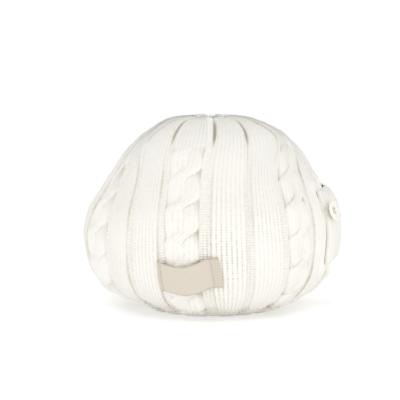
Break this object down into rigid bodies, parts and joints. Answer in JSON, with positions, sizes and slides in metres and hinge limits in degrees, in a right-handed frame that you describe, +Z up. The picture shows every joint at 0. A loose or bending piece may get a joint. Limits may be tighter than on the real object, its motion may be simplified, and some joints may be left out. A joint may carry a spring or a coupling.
{
  "type": "tea cosy",
  "caption": "Hollow knitted tea cosy with broad ribs and rope cables, gathered on top, with a side slit, a buttoned side slot and a bare sewn label.",
  "frame": {"origin": "middle of the outline box in the plane of the hem", "axes": "+Z up through the hole on top, -Y out of the front panel with the label, -X out of the side slit, +X out of the buttoned side slot"},
  "size_m": [0.1706, 0.1749, 0.127],
  "materials": {
    "knit": "soft cream wool-blend yarn, matt, knitted in broad ribs and cables",
    "tape": "beige woven tape with a fine rib, matt",
    "button": "cream pearl gloss"
  },
  "bodies": {
    "root": {"front_panel": "knit", "back_panel": "knit", "button_tab": "knit", "woven_label": "tape", "button": "button"}
  },
  "joints": []
}
